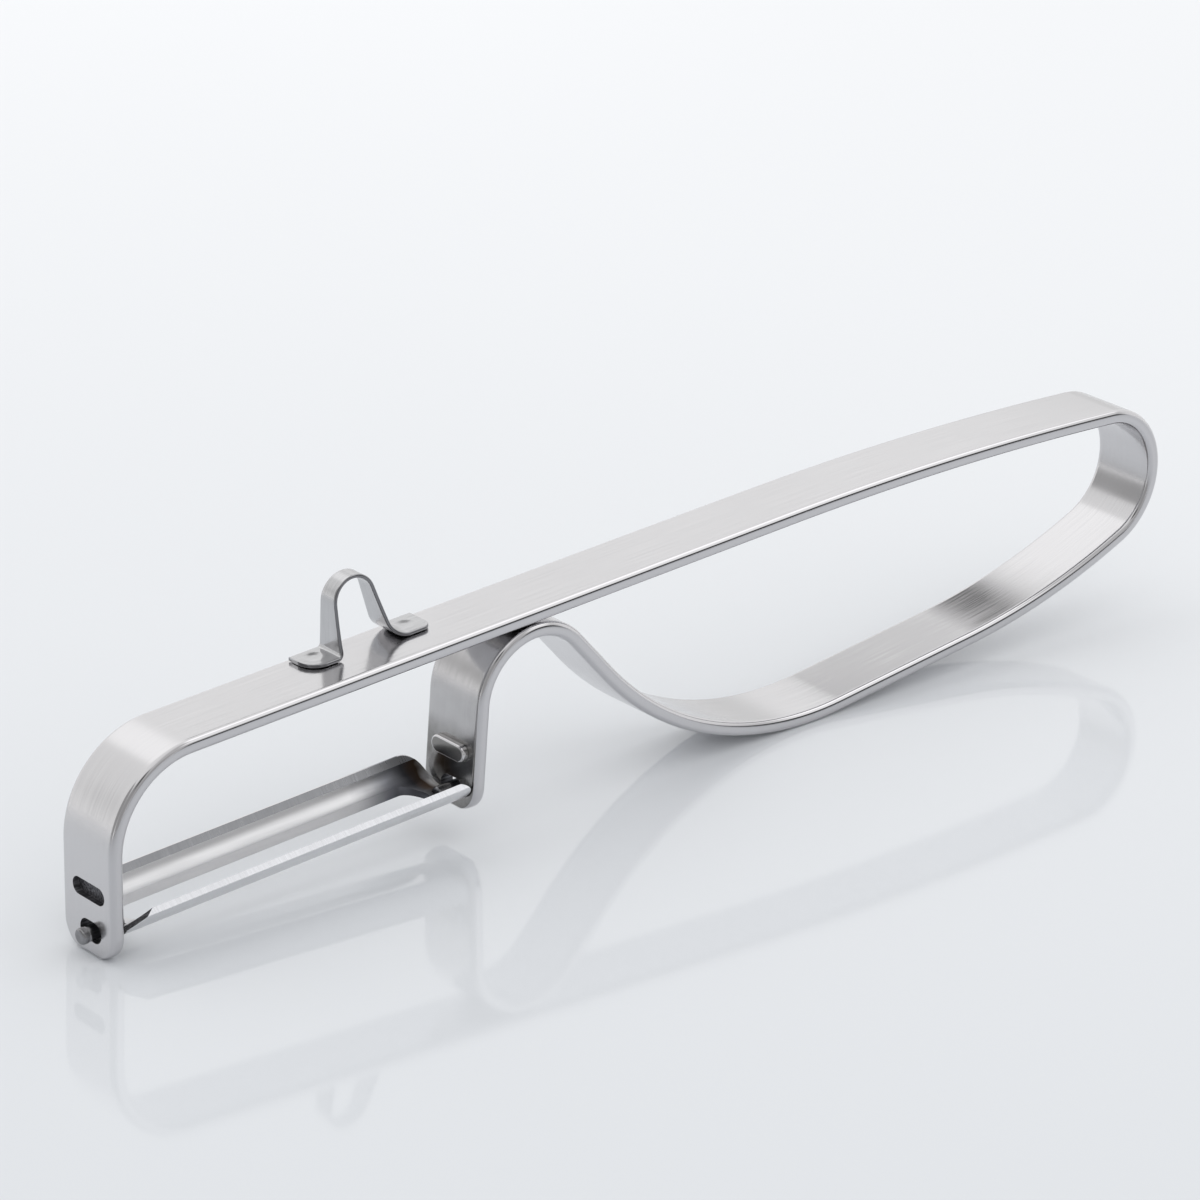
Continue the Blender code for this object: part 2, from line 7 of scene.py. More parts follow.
import bmesh
import bpy
import numpy as np
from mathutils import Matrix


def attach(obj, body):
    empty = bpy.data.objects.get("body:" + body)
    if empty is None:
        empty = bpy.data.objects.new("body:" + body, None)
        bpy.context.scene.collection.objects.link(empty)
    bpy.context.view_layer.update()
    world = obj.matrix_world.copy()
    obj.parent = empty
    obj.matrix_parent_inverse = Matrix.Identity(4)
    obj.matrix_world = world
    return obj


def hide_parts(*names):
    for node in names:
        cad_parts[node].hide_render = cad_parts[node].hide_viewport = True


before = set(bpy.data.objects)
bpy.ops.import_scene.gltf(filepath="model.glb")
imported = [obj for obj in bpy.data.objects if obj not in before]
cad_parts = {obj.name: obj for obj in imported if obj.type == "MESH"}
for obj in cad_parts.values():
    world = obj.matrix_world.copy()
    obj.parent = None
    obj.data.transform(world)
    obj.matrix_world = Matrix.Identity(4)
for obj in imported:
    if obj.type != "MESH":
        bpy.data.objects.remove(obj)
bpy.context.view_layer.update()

# The frame strip: one flat bar of stainless steel, 10 x 2 mm, that makes the whole handle.
# It is bent cold, satin brushed along its length and tumbled, so its rims shine.
# Both legs are pierced by an oval pivot hole and half-pierced by a stop over it.
STRIP_HALF_WIDTH = 5.0
STRIP_HALF_THICKNESS = 1.0
STRIP_RIM = 0.7
STRIP_START = (0.5063, -25.9979)
STRIP_HEADING = 87.9
# The bar's middle line from the front leg's foot on: length and turn in degrees.
STRIP_MOVES = (
    (13.6877, 0.0),  # front leg
    (18.0262, -87.9),  # front bend
    (97.55, 0.0),  # straight top
    (61.0678, -5.9),  # drooping top
    (25.8164, -153.6),  # tail
    (30.8263, -16.7057),  # palm side
    (24.0, 0.0),  # straight run to the belly
    (46.6324, -54.4162),  # belly
    (8.5, 0.0),  # neck
    (20.5022, 135.022),  # crest under the top
    (14.4058, 0.0),  # rear leg
)
LEG_CORNER = 3.5
# How the peeler leans on its front leg and belly: a turn about Y in radians, and a move.
TABLE_TILT = 0.0513175
TABLE_PLACE = (-90.211, 0.0, 25.9524)
# Each leg where the pivot axis passes it: x, z, heading in degrees, and which way is up.
PIVOT_Z = -22.9
FRONT_LEG = (0.6199, PIVOT_Z, 87.9, 1.0)
REAR_LEG = (56.5254, PIVOT_Z, -95.6, -1.0)
LEGS = (("front", FRONT_LEG), ("rear", REAR_LEG))
# The pivot hole and the stop: width, height, above the pivot, beside the strip's middle.
PIVOT_Y = -0.6
HOLE = (4.2, 2.7, 0.2, PIVOT_Y)
STOP = (6.3, 2.3, 5.4, -0.3)
STOP_RISE = 0.9
POCKET_DEPTH = 0.9
# How far a cutter stands out of the bar, and how wide the cuts' edges are broken.
CUT_CLEAR = 3.0
STRIP_BROKEN_EDGE = 0.14


def on_table(points):
    """Design millimetres to metres on the table: turned by the tilt about Y, then moved."""
    x, y, z = np.moveaxis(np.asarray(points, float), -1, 0)
    cosine, sine = np.cos(TABLE_TILT), np.sin(TABLE_TILT)
    turned = np.stack([cosine * x - sine * z, y, sine * x + cosine * z], axis=-1)
    return (turned + np.array(TABLE_PLACE)) * 0.001


def bend_line(start, heading, moves, extra, step=1.5, turn_step=2.0):
    """Stations of a line of straight runs and even bends: x, z, heading and distance.

    The heading grows evenly along each bend.  Between stations the chord is the length
    times sin(half turn) / half turn along the mean heading, and places are running sums.
    """
    lengths, turns = np.array(moves, float).T
    ends = np.concatenate([[0.0], np.cumsum(lengths)])
    headings = np.radians(heading + np.concatenate([[0.0], np.cumsum(turns)]))
    wanted = np.ceil(np.maximum(lengths / step, np.abs(turns) / turn_step))
    pieces = np.where(turns == 0.0, 1, wanted).astype(int)
    order = np.arange(pieces.sum()) - np.repeat(np.cumsum(pieces) - pieces, pieces)
    inner = np.repeat(ends[:-1], pieces) + order * np.repeat(lengths / pieces, pieces)
    distance = np.unique(np.round(np.concatenate([inner, ends[-1:], extra]), 5))
    bearing = np.interp(distance, ends, headings)
    bends = np.diff(bearing)
    chords = np.diff(distance) * np.sinc(bends / 2 / np.pi)
    middle = bearing[:-1] + bends / 2
    x = start[0] + np.concatenate([[0.0], np.cumsum(chords * np.cos(middle))])
    z = start[1] + np.concatenate([[0.0], np.cumsum(chords * np.sin(middle))])
    return x, z, bearing, distance


def round_inset(radius, distance):
    """How far a quarter circle of that radius draws an edge in, at a distance from its end."""
    short = np.clip(radius - distance, 0.0, radius)
    return radius - np.sqrt(radius**2 - short**2)


def band_surface(line, low, high, half, rim, flats=1, quarter=7):
    """Points, along-and-across pairs and edge pairs of a flat band carried along a line.

    Round the section a point is a corner's centre plus the rim radius times
    (cos a, sin a).  It lies at that distance across in Y and along the line's left normal.
    """
    x, z, bearing, distance = line
    low, high, half, rim = (np.broadcast_to(v, x.shape)[:, None] for v in (low, high, half, rim))
    angles = np.linspace(0.0, np.pi / 2, quarter)
    share = np.arange(1, flats) / flats
    columns = []
    for turn, sign, goes_on in ((0, 1, True), (1, 1, False), (2, -1, True), (3, -1, False)):
        centre_y = high - rim if turn in (0, 3) else low + rim
        centre_n = sign * (half - rim)
        a = angles + turn * np.pi / 2
        columns.append((centre_y + rim * np.cos(a), centre_n + rim * np.sin(a), np.abs(np.cos(a))))
        if goes_on:
            ends = (high - rim, low + rim) if sign > 0 else (low + rim, high - rim)
            flat = ends[0] + (ends[1] - ends[0]) * share
            columns.append((flat, sign * half + 0 * share, 0 * share))
    y = np.concatenate([c[0] for c in columns], axis=1)
    n = np.concatenate([c[1] for c in columns], axis=1)
    edge = np.concatenate([np.broadcast_to(c[2], c[0].shape) for c in columns], axis=1)
    points = np.stack([x[:, None] - n * np.sin(bearing)[:, None], y,
                       z[:, None] + n * np.cos(bearing)[:, None]], axis=-1)
    along = np.stack([np.broadcast_to(distance[:, None], y.shape), y], axis=-1)
    return points, along, np.stack([edge, n], axis=-1)


def tube_faces(rings, around):
    """Quads between neighbouring rings of a grid that closes round, and a face on each end."""
    k = np.arange(rings * around).reshape(rings, around)
    following = np.roll(k, -1, axis=1)
    quads = np.stack([k[:-1], following[:-1], following[1:], k[1:]], axis=-1)
    return quads.reshape(-1, 4).tolist() + [k[0].tolist(), k[-1].tolist()]


def solid(name, points, faces, **layers):
    """Closed object whose mesh lies in place; each layer is a UV map, one pair a point."""
    mesh = bpy.data.meshes.new(name)
    mesh.from_pydata(on_table(points).reshape(-1, 3).tolist(), [], faces)
    bm = bmesh.new()
    bm.from_mesh(mesh)
    bmesh.ops.recalc_face_normals(bm, faces=bm.faces)
    bm.to_mesh(mesh)
    bm.free()
    corners = np.empty(len(mesh.loops), np.int32)
    mesh.loops.foreach_get("vertex_index", corners)
    for layer, pairs in layers.items():
        uv = mesh.uv_layers.new(name=layer)
        uv.data.foreach_set("uv", pairs.reshape(-1, 2)[corners].astype(np.float32).ravel())
    made = bpy.data.objects.new(name, mesh)
    bpy.context.scene.collection.objects.link(made)
    return made


def pill_surface(length, width, profile, around=24):
    """Rings of a round-ended bar: half circles of each profile radius, set apart by its
    straight sides, at that profile's height.  A profile pair is (wider by, height)."""
    turn = np.linspace(-np.pi / 2, np.pi / 2, around)
    a = np.concatenate([turn, turn + np.pi])
    shift = np.repeat([0.5, -0.5], around) * (length - width)
    wider, height = np.array(profile, float).T[:, :, None]
    radius = width / 2 + wider
    return np.stack([shift + radius * np.cos(a), radius * np.sin(a), height + 0 * a], axis=-1)


def on_leg(points, leg, above, beside):
    """Leg places to design places: x across the strip, y up the leg, z out of its outer face."""
    foot_x, foot_z, heading, upward = leg
    bearing = np.radians(heading)
    x, y, z = np.moveaxis(points, -1, 0)
    y = (y + above) * upward
    return np.stack([foot_x + y * np.cos(bearing) - z * np.sin(bearing), beside - upward * x,
                     foot_z + y * np.sin(bearing) + z * np.cos(bearing)], axis=-1)


def no_pairs(points):
    """The pair (0, 0) at every point, for a surface without a run along it or a rim."""
    return np.zeros(points.shape[:2] + (2,))


def cut_out(piece, cutters):
    """Take closed cutters out of a piece and keep the finished mesh in it."""
    for cutter in cutters:
        boolean = piece.modifiers.new(cutter.name, "BOOLEAN")
        boolean.solver = "EXACT"
        boolean.object = cutter
    bpy.context.view_layer.update()
    depsgraph = bpy.context.evaluated_depsgraph_get()
    finished = bpy.data.meshes.new_from_object(piece.evaluated_get(depsgraph))
    piece.modifiers.clear()
    piece.data = finished
    for cutter in cutters:
        bpy.data.objects.remove(cutter)


def finish_edges(piece, width, angle=40.0):
    """Break edges sharper than the angle with a bevel of that width in millimetres, and
    weight the normals by area, so that wide faces keep their flatness."""
    piece.data.shade_smooth()
    bevel = piece.modifiers.new("broken_edges", "BEVEL")
    bevel.width = width * 0.001
    bevel.segments = 2
    bevel.limit_method = "ANGLE"
    bevel.angle_limit = np.radians(angle)
    bevel.harden_normals = False
    weighted = piece.modifiers.new("flat_faces", "WEIGHTED_NORMAL")
    weighted.keep_sharp = True


strip_length = sum(length for length, _ in STRIP_MOVES)
corner_places = LEG_CORNER * (1 - np.cos(np.linspace(0.0, np.pi / 2, 13)))
rim_places = STRIP_RIM * (1 - np.cos(np.linspace(0.0, np.pi / 2, 6)))
end_places = np.concatenate([corner_places, rim_places])
strip_line = bend_line(STRIP_START, STRIP_HEADING, STRIP_MOVES,
                       np.concatenate([end_places, strip_length - end_places]))
end_distance = np.minimum(strip_line[3], strip_line[3][-1] - strip_line[3])
half_width = STRIP_HALF_WIDTH - round_inset(LEG_CORNER, end_distance)
# The feet are rounded like the rims: there the section shrinks till 0.01 mm of rim is left.
LAST_RIM = 0.01
end_round = round_inset(STRIP_RIM, end_distance)
points, along, edge = band_surface(strip_line, -half_width, half_width,
                                   STRIP_HALF_THICKNESS - end_round,
                                   STRIP_RIM - end_round + LAST_RIM)
strip = solid("bent_strip", points, tube_faces(*points.shape[:2]), grain=along, edge=edge)


def linear(code):
    """sRGB hex to linear colour: ((c + 0.055) / 1.055) ** 2.4 above 0.04045, else c / 12.92."""
    c = np.array([int(code[k:k + 2], 16) for k in (0, 2, 4)]) / 255
    return (*np.where(c > 0.04045, ((c + 0.055) / 1.055) ** 2.4, c / 12.92).tolist(), 1.0)


def add(tree, kind, inputs=(), **settings):
    """Add a node with its settings; each input is a value or another node's socket."""
    made = tree.nodes.new(kind)
    for name, value in settings.items():
        setattr(made, name, value)
    for name, value in dict(inputs).items():
        if isinstance(value, bpy.types.NodeSocket):
            tree.links.new(value, made.inputs[name])
        else:
            made.inputs[name].default_value = value
    return made


# A Mix node's sockets for two colours, and its colour output.
MIX_A, MIX_B, MIXED = 6, 7, 2


def brushed_steel(name, colour, worn, rim_shade_colour, grain_mm, grit_mm, satin, polish):
    """Satin brushed and tumbled stainless steel that follows a band.

    The brushing draws fine lines along the band, grit_mm apart and grain_mm long; between
    them lie broad, faint clouds, about 11 mm wide.  Tumbling has polished the rims, which
    mirror the room.  Their colour is painted apart from the face: where it is darker, as on
    the strip and the band, it is a painted shade for the dark line along them.
    """
    material = bpy.data.materials.new(name)
    material.use_nodes = True
    tree = material.node_tree
    shader = tree.nodes["Principled BSDF"]
    place = add(tree, "ShaderNodeUVMap", uv_map="grain").outputs["UV"]
    lines_at = add(tree, "ShaderNodeMapping",
                   {"Vector": place, "Scale": (1 / grain_mm, 1 / grit_mm, 1.0)})
    lines = add(tree, "ShaderNodeTexNoise",
                {"Vector": lines_at.outputs[0], "Scale": 1.0, "Detail": 3.0, "Roughness": 0.6})
    clouds = add(tree, "ShaderNodeTexNoise", {"Vector": place, "Scale": 0.09, "Detail": 2.0})
    edge = add(tree, "ShaderNodeSeparateXYZ",
               {"Vector": add(tree, "ShaderNodeUVMap", uv_map="edge").outputs["UV"]})
    rim = add(tree, "ShaderNodeMapRange",
              {"Value": edge.outputs["X"], "From Min": 0.1, "From Max": 0.6},
              interpolation_type="SMOOTHSTEP")
    drawn = add(tree, "ShaderNodeMapRange",
                {"Value": lines.outputs["Fac"], "From Min": 0.3, "From Max": 0.7,
                 "To Min": satin - 0.05, "To Max": satin + 0.06})
    clouded = add(tree, "ShaderNodeMath",
                  {0: clouds.outputs["Fac"], 1: 0.12, 2: drawn.outputs[0]},
                  operation="MULTIPLY_ADD")
    rough = add(tree, "ShaderNodeMix",
                {"Factor": rim.outputs[0], "A": clouded.outputs[0], "B": polish})
    tree.links.new(rough.outputs[0], shader.inputs["Roughness"])
    face = add(tree, "ShaderNodeMix",
               {"Factor": lines.outputs["Fac"], MIX_A: linear(colour), MIX_B: linear(worn)},
               data_type="RGBA")
    # The rims' own colour: where it is darker than the face, it is a painted shade.
    rim_shaded = add(tree, "ShaderNodeMix",
                {"Factor": rim.outputs[0], MIX_A: face.outputs[MIXED], MIX_B: linear(rim_shade_colour)},
                data_type="RGBA")
    tree.links.new(rim_shaded.outputs[MIXED], shader.inputs["Base Color"])
    # The lines are 0.006 mm deep, and nearly gone from the rims.
    strength = add(tree, "ShaderNodeMapRange",
                   {"Value": rim.outputs[0], "To Min": 0.16, "To Max": 0.02})
    bump = add(tree, "ShaderNodeBump", {"Height": lines.outputs["Fac"], "Distance": 0.000006,
                                        "Strength": strength.outputs[0]})
    tree.links.new(bump.outputs[0], shader.inputs["Normal"])
    shader.inputs["Metallic"].default_value = 1.0
    return material


# Stainless steel, brushed with a 240 grit belt and tumbled: a soft satin between bright
# rims.  Real lines lie about 0.06 mm apart, finer than the render shows, so they are drawn
# 0.2 mm apart and 14 mm long.
# Its rims are painted a little darker, a painted shade for the dark line along them.
strip_steel = brushed_steel("stainless_steel_satin_brushed_strip", "D6D5D6", "CCCBCD", "C6C5C7",
                            14.0, 0.2, 0.11, 0.08)

# Round the stops and pins on the inner side of both legs the colour is painted darker, a
# painted shade for the shadow and the dark reflections between leg and blade, in patches
# every 3 mm or so.  It begins 27 mm from the bar's ends and grows stronger from 12 mm on.
PAINTED_SHADE_COLOUR = "7C7B78"
tree = strip_steel.node_tree
shader = tree.nodes["Principled BSDF"]
run = add(tree, "ShaderNodeUVMap", uv_map="grain").outputs["UV"]
place = add(tree, "ShaderNodeSeparateXYZ", {"Vector": run})
side = add(tree, "ShaderNodeSeparateXYZ",
           {"Vector": add(tree, "ShaderNodeUVMap", uv_map="edge").outputs["UV"]})
inner = add(tree, "ShaderNodeMath", {0: side.outputs["Y"], 1: -0.9}, operation="LESS_THAN")
shade_patches = add(tree, "ShaderNodeTexNoise", {"Vector": run, "Scale": 0.35, "Detail": 3.0})
other_way = add(tree, "ShaderNodeMath", {0: strip_length, 1: place.outputs["X"]},
                operation="SUBTRACT")
from_end = add(tree, "ShaderNodeMath", {0: place.outputs["X"], 1: other_way.outputs[0]},
               operation="MINIMUM")
leg_part = add(tree, "ShaderNodeMapRange",
               {"Value": from_end.outputs[0], "From Min": 27.0, "From Max": 23.0, "To Max": 0.3},
               interpolation_type="SMOOTHSTEP")
stop_part = add(tree, "ShaderNodeMapRange",
                {"Value": from_end.outputs[0], "From Min": 12.0, "From Max": 8.0, "To Max": 0.7},
                interpolation_type="SMOOTHSTEP")
near_end = add(tree, "ShaderNodeMath", {0: leg_part.outputs[0], 1: stop_part.outputs[0]},
               operation="ADD")
patchy = add(tree, "ShaderNodeMapRange",
             {"Value": shade_patches.outputs["Fac"], "From Min": 0.3, "From Max": 0.6,
              "To Min": 1.0, "To Max": 0.7})
painted_shade_share = add(tree, "ShaderNodeMath", {0: near_end.outputs[0], 1: patchy.outputs[0]},
           operation="MULTIPLY")
painted_shade_on_inner = add(tree, "ShaderNodeMath", {0: painted_shade_share.outputs[0], 1: inner.outputs[0]},
                 operation="MULTIPLY")
bright = shader.inputs["Base Color"].links[0].from_socket
# Mix the painted shade into the bar's colour on the legs' inner sides.
darker = add(tree, "ShaderNodeMix",
             {"Factor": painted_shade_on_inner.outputs[0], MIX_A: bright, MIX_B: linear(PAINTED_SHADE_COLOUR)},
             data_type="RGBA")
tree.links.new(darker.outputs[MIXED], shader.inputs["Base Color"])


def torn_steel(name, colour, dark, grain_mm, rough):
    """Sheared stainless steel: streaks 4 mm long and grain_mm wide run the way of the punch,
    darker in the tears."""
    material = bpy.data.materials.new(name)
    material.use_nodes = True
    tree = material.node_tree
    shader = tree.nodes["Principled BSDF"]
    place = add(tree, "ShaderNodeTexCoord").outputs["Object"]
    stretched = add(tree, "ShaderNodeMapping",
                    {"Vector": place, "Scale": (1000 / 4.0, 1000 / grain_mm, 1000 / grain_mm)})
    tears = add(tree, "ShaderNodeTexNoise",
                {"Vector": stretched.outputs[0], "Scale": 1.0, "Detail": 4.0, "Roughness": 0.65})
    depth = add(tree, "ShaderNodeMapRange",
                {"Value": tears.outputs["Fac"], "From Min": 0.35, "From Max": 0.65})
    mixed = add(tree, "ShaderNodeMix",
                {"Factor": depth.outputs[0], MIX_A: linear(dark), MIX_B: linear(colour)},
                data_type="RGBA")
    tree.links.new(mixed.outputs[MIXED], shader.inputs["Base Color"])
    bump = add(tree, "ShaderNodeBump",
               {"Height": tears.outputs["Fac"], "Distance": 0.00004, "Strength": 0.6})
    tree.links.new(bump.outputs[0], shader.inputs["Normal"])
    shader.inputs["Metallic"].default_value = 1.0
    shader.inputs["Roughness"].default_value = rough
    return material


# Where the punch has sheared the bar the steel stays matt, torn about every 0.1 mm and
# drawn at 0.3 mm, darker in its tears; its colour is painted nearly black, a painted shade
# for the shadow in the holes and pockets.
punched_steel_shaded = torn_steel("stainless_steel_punched_torn_painted_shade", "8C8C90", "303034", 0.3, 0.5)

strip.data.materials.append(strip_steel)
strip.data.materials.append(punched_steel_shaded)
through = ((0.0, -CUT_CLEAR), (0.0, CUT_CLEAR))
half_through = ((0.0, STRIP_HALF_THICKNESS - POCKET_DEPTH), (0.0, CUT_CLEAR))
pierced = []
for leg_name, leg in LEGS:
    for name, opening, depths in (("hole", HOLE, through), ("pocket", STOP, half_through)):
        width, height, above, beside = opening
        shape = on_leg(pill_surface(width, height, depths), leg, above, beside)
        cutter = solid(f"{leg_name}_{name}", shape, tube_faces(*shape.shape[:2]),
                       grain=no_pairs(shape), edge=no_pairs(shape))
        cutter.data.materials.append(strip_steel)
        cutter.data.materials.append(punched_steel_shaded)
        torn = np.ones(len(cutter.data.polygons), np.int32)
        cutter.data.polygons.foreach_set("material_index", torn)
        pierced.append(cutter)
cut_out(strip, pierced)
finish_edges(strip, STRIP_BROKEN_EDGE)
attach(strip, "frame")
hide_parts("frame_strip")

# The stops on the blade's side: the punch has pushed them half through the leg, so each is
# a raised pill of the bar's own steel with a softly rounded brim.
STOP_BRIM = 0.25
stop_top = -STRIP_HALF_THICKNESS - STOP_RISE
# From 0.3 mm deep in the leg: a spread root, the straight side and the quarter-round brim.
stop_profile = [(0.12, -STRIP_HALF_THICKNESS + 0.3), (0.02, -STRIP_HALF_THICKNESS - 0.08)]
stop_profile += [(STOP_BRIM * (np.cos(a) - 1), stop_top + STOP_BRIM * (1 - np.sin(a)))
                 for a in np.radians(np.linspace(0.0, 90.0, 6))]
# Pressed stainless steel, greyer than the brushed bar, its lines drawn 0.3 mm apart; the
# tumbling has caught only the stop's sides and brim, which shine as the bar does.
stop_steel = brushed_steel("stainless_steel_pressed_stop", "959492", "838280", "959492",
                           3.0, 0.3, 0.16, 0.1)
for leg_name, leg in LEGS:
    shape = on_leg(pill_surface(STOP[0], STOP[1], stop_profile), leg, STOP[2], STOP[3])
    stop = solid(f"{leg_name}_stop", shape, tube_faces(*shape.shape[:2]),
                 grain=no_pairs(shape), edge=no_pairs(shape))
    stop.data.shade_smooth()
    stop.data.set_sharp_from_angle(angle=np.radians(50.0))
    stop.data.materials.append(stop_steel)
    stop.data.materials.append(strip_steel)
    brim_faces = np.zeros(len(stop.data.polygons), np.int32)
    brim_faces[shape.shape[1]:-2] = 1
    stop.data.polygons.foreach_set("material_index", brim_faces)
    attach(stop, "frame")

# The weld: the crest of the handle touches the underside of the top through one nugget of
# melted bar, 4.2 mm wide and waisted where the two met.
WELD_WIDTH = 4.2
WELD_PLACE = (66.3457, 0.0, -2.0)
weld_profile = ((-0.5, -0.55), (-0.1, -0.3), (-0.25, -0.1), (-0.1, 0.1), (-0.5, 0.3))
nugget = pill_surface(WELD_WIDTH, WELD_WIDTH, weld_profile) + np.array(WELD_PLACE)
weld = solid("crest_weld", nugget, tube_faces(*nugget.shape[:2]),
             grain=no_pairs(nugget), edge=no_pairs(nugget))
weld.data.shade_smooth()
weld.data.materials.append(strip_steel)
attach(weld, "frame")

# The eye remover: a thin stainless band, folded up from its front foot, bent over a narrow
# crest and run out into its rear foot.  Each foot is spot-welded to the strip's top.
BAND_HALF_THICKNESS = 0.25
BAND_RIM = 0.2
BAND_START = (34.3, 0.35)
BAND_MOVES = (
    (4.3, 0.0),  # front foot
    (1.09956, 90.0),  # fold
    (5.8, 0.0),  # front side
    (8.4823, -162.0),  # crest
    (5.4844, 0.0),  # slanting rear side
    (4.02124, 72.0),  # flare
    (3.4, 0.0),  # rear foot
)
BAND_STEP = 0.16
BAND_HEIGHT = 9.5
BAND_FAR_SIDE = 4.2
BAND_FOOT_WIDTH = 4.6
BAND_CREST_WIDTH = 2.4
BAND_CREST_INSET = 0.7
FRONT_CORNER = 2.6
REAR_CORNER = 1.3
# The spots: x and y, the dent's and its ring's size and depth, and how high the feet reach.
FOOT_SPOTS = ((36.6, 2.2), (50.6, 1.9))
DENT_RADIUS, DENT_DEPTH = 0.85, 0.06
RING_RADIUS, RING_WIDTH, RING_RISE = 1.2, 0.25, 0.015
FEET_BELOW = 1.2
BAND_BROKEN_EDGE = 0.02
band_run = sum(length for length, _ in BAND_MOVES)
fine = np.arange(0.0, band_run, BAND_STEP)
front_places = FRONT_CORNER * (1 - np.cos(np.linspace(0.0, np.pi / 2, 10)))
rear_places = band_run - REAR_CORNER * (1 - np.cos(np.linspace(0.0, np.pi / 2, 8)))
band_line = bend_line(BAND_START, 0.0, BAND_MOVES,
                      np.concatenate([fine, front_places, rear_places]))
# The band narrows upwards, mostly from its near side and fastest just above its feet.
rise = np.clip((band_line[1] - BAND_START[1]) / BAND_HEIGHT, 0.0, 1.0)
far = BAND_FAR_SIDE - BAND_CREST_INSET * rise
near = far - BAND_FOOT_WIDTH + (BAND_FOOT_WIDTH - BAND_CREST_WIDTH) * rise**0.7
near = near + round_inset(FRONT_CORNER, band_line[3])
near = near + round_inset(REAR_CORNER, band_line[3][-1] - band_line[3])
points, along, edge = band_surface(band_line, near, far, BAND_HALF_THICKNESS, BAND_RIM,
                                   flats=18, quarter=5)
for spot_x, spot_y in FOOT_SPOTS:
    # Height falls by depth * exp(-(distance / radius) ** 4) in the dent, and rises by a
    # bell curve of the distance in the ring; the spot is longer along the strip.
    away = np.hypot((points[..., 0] - spot_x) * 0.8, points[..., 1] - spot_y)
    ring = RING_RISE * np.exp(-((away - RING_RADIUS) / RING_WIDTH) ** 2)
    dent = DENT_DEPTH * np.exp(-(away / DENT_RADIUS) ** 4)
    points[..., 2] += (ring - dent) * (points[..., 2] < FEET_BELOW)
band = solid("eye_loop_band", points, tube_faces(*points.shape[:2]), grain=along, edge=edge)
finish_edges(band, BAND_BROKEN_EDGE)
# Stainless band, rolled bright and handled: greyer and livelier than the strip under it,
# with short lines about 0.05 mm apart, drawn 0.25 mm apart, and its sheared edges painted
# darker, a painted shade for the dark line along them.
band.data.materials.append(
    brushed_steel("stainless_steel_rolled_bright_band", "CFCFD0", "B4B4B6", "808083",
                  5.0, 0.25, 0.12, 0.08))
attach(band, "frame")
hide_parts("eye_remover_loop")

# The blade: a trough rolled from thin hardened stainless sheet, polished, its slot ground
# sharp from inside and its far wall ground to a facet.  It hangs on two pins at its ends.
BLADE_START = 2.0206
BLADE_LENGTH = 53.1
ends = (BLADE_START, BLADE_START + BLADE_LENGTH)
# The section, across and up from the pivot axis.
TROUGH_RADIUS = 4.4
TROUGH_SHEET = 0.8
TROUGH_MIDDLE = 1.1
TROUGH_CENTRE = 3.6
NEAR_TOP = 2.7
NEAR_BEVEL = 0.5
FAR_TOP = 3.57
FACET_TIP = 0.2
FACET_DROP = 0.8
# The slot widens inwards by 0.52 mm a side over 1.6 mm, from 0.55 mm under the axis.
SLOT_MIDDLE_Y = 0.35
SLOT_WIDTH = 4.9
SLOT_LENGTH = 47.1
SLOT_FLARE = 0.52
SLOT_REACH = 1.6
SLOT_BELOW = 0.55
# The near wall's front end is cut off slanting; the other ends of the walls are rounded.
CHAMFER_DROP = 2.01
CHAMFER_RUN = 6.34
SMALL_CORNER = 1.6
LARGE_CORNER = 3.5
# The pins' seats are notches through the floor's ends, placed from the pivot axis.
SEAT_HALF_WIDTH = 1.02
SEAT_LENGTH = 2.05
SEAT_ABOVE = 0.4
SEAT_BELOW = 2.0
# How far the cutters reach past the blade's edges, and where they end beside its walls.
PAST_EDGE = 1.0
PAST_WALL = 7.0
BLADE_BROKEN_EDGE = 0.05


def wall_arc(side, radius, top, steps=22):
    """One wall in section: part of a circle about (side * middle, centre), from the angle at
    which it stands at the top's height, which is arcsin(depth / radius), down to 90 degrees."""
    start = np.arcsin((TROUGH_CENTRE - top) / radius)
    a = start + (np.pi / 2 - start) * np.linspace(0.0, 1.0, steps)
    return np.stack([side * (TROUGH_MIDDLE + radius * np.cos(a)),
                     TROUGH_CENTRE - radius * np.sin(a)], axis=-1)


def trough_section():
    """Outline of the trough, and which of its sides are the far facet and the near bevel.

    Outer near wall, outer far wall, far tip, inner far wall and inner near wall are each an
    arc or a point.  Straight sides join them: the floor's two faces, the far wall's top, the
    facet and the bevel.
    """
    inner = TROUGH_RADIUS - TROUGH_SHEET
    outer_near = wall_arc(-1, TROUGH_RADIUS, NEAR_TOP - NEAR_BEVEL)
    outer_far = wall_arc(1, TROUGH_RADIUS, FAR_TOP)[::-1]
    far_tip = np.array([[TROUGH_MIDDLE + TROUGH_RADIUS - FACET_TIP, FAR_TOP]])
    inner_far = wall_arc(1, inner, FAR_TOP - FACET_DROP)
    inner_near = wall_arc(-1, inner, NEAR_TOP)[::-1]
    section = np.concatenate([outer_near, outer_far, far_tip, inner_far, inner_near])
    return section, len(outer_near) + len(outer_far), len(section) - 1


def prism(outline, from_y, to_y):
    """A cutter: an outline of (x, z) pairs carried straight across in Y."""
    x, z = np.array(outline, float).T
    return np.stack([np.stack([x, 0 * x + y, z], axis=-1) for y in (from_y, to_y)])


